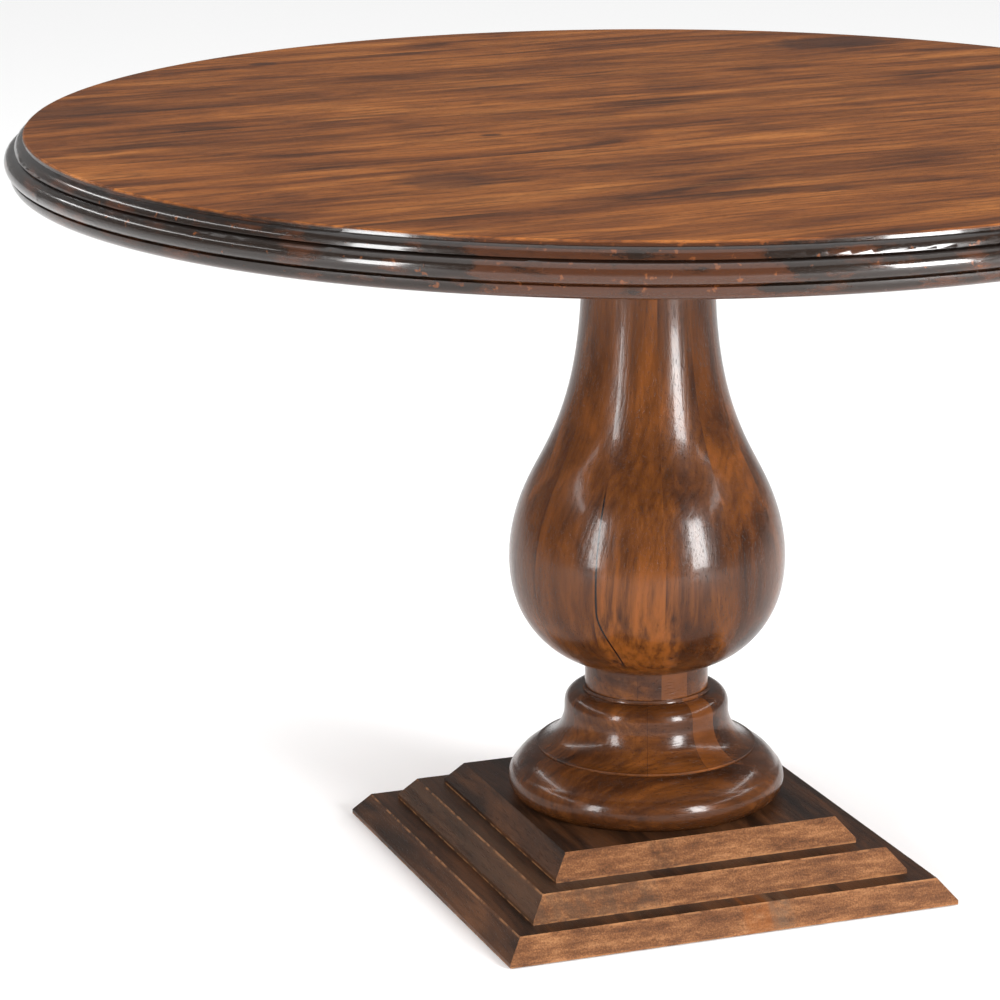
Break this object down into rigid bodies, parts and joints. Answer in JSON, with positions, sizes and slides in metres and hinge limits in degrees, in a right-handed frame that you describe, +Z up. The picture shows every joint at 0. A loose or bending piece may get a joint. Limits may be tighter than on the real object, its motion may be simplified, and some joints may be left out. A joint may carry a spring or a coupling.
{
  "type": "round pedestal table",
  "caption": "Round solid-wood dining table with a moulded edge on a turned vase pedestal and a stepped square plinth.",
  "frame": {"origin": "on the floor under the middle of the plinth", "axes": "+Z up through the column, X and Y along the plinth's square sides, with the end grain of the plinth boards facing -Y and +Y"},
  "size_m": [1.246, 1.246, 0.762],
  "materials": {
    "top_wood": "satin lacquer over stained, worn plank wood",
    "rim_wood": "gloss lacquer over dark stain with worn patches",
    "column_wood": "gloss lacquer over amber brown stain",
    "plinth_wood": "satin lacquer over stained boards",
    "frame_wood": "bare planed wood",
    "zinc_steel": "zinc plated",
    "leveller_steel": "black oxide"
  },
  "bodies": {
    "table": {"top_board_1": "top_wood", "top_board_2": "top_wood", "top_board_3": "top_wood", "top_board_4": "top_wood", "top_board_5": "top_wood", "top_board_6": "top_wood", "top_board_7": "top_wood", "top_board_8": "top_wood", "top_board_9": "top_wood", "top_board_10": "top_wood", "rim_segment_1": "rim_wood", "rim_segment_2": "rim_wood", "rim_segment_3": "rim_wood", "rim_segment_4": "rim_wood", "rim_segment_5": "rim_wood", "rim_segment_6": "rim_wood", "batten_1": "frame_wood", "batten_2": "frame_wood", "mounting_plate": "frame_wood", "core_plug_upper": "frame_wood", "core_plug_lower": "frame_wood", "vase_stave_1": "column_wood", "vase_stave_2": "column_wood", "vase_stave_3": "column_wood", "vase_stave_4": "column_wood", "vase_stave_5": "column_wood", "vase_stave_6": "column_wood", "vase_stave_7": "column_wood", "vase_stave_8": "column_wood", "vase_stave_9": "column_wood", "vase_stave_10": "column_wood", "vase_stave_11": "column_wood", "vase_stave_12": "column_wood", "column_cap": "column_wood", "neck_collar": "column_wood", "bell_moulding": "column_wood", "torus_ring": "column_wood", "plinth_bottom_board_1": "plinth_wood", "plinth_bottom_board_2": "plinth_wood", "plinth_bottom_board_3": "plinth_wood", "plinth_bottom_board_4": "plinth_wood", "plinth_middle_board_1": "plinth_wood", "plinth_middle_board_2": "plinth_wood", "plinth_middle_board_3": "plinth_wood", "plinth_top_board_1": "plinth_wood", "plinth_top_board_2": "plinth_wood", "plinth_top_board_3": "plinth_wood", "batten_screws": "zinc_steel", "plate_screws": "zinc_steel", "cap_screws": "zinc_steel", "plinth_screws": "zinc_steel", "tie_rod": "zinc_steel", "tie_rod_nuts": "zinc_steel", "tie_rod_washers": "zinc_steel", "leveller_inserts": "zinc_steel"},
    "glide_1": {"leveller_1": "leveller_steel"},
    "glide_2": {"leveller_2": "leveller_steel"},
    "glide_3": {"leveller_3": "leveller_steel"},
    "glide_4": {"leveller_4": "leveller_steel"}
  },
  "joints": [
    {"name": "glide_1_screw_out", "type": "slide", "parent": "table", "child": "glide_1", "axis": [0, 0, -1], "range_m": [0, 0.012]},
    {"name": "glide_2_screw_out", "type": "slide", "parent": "table", "child": "glide_2", "axis": [0, 0, -1], "range_m": [0, 0.012]},
    {"name": "glide_3_screw_out", "type": "slide", "parent": "table", "child": "glide_3", "axis": [0, 0, -1], "range_m": [0, 0.012]},
    {"name": "glide_4_screw_out", "type": "slide", "parent": "table", "child": "glide_4", "axis": [0, 0, -1], "range_m": [0, 0.012]}
  ]
}
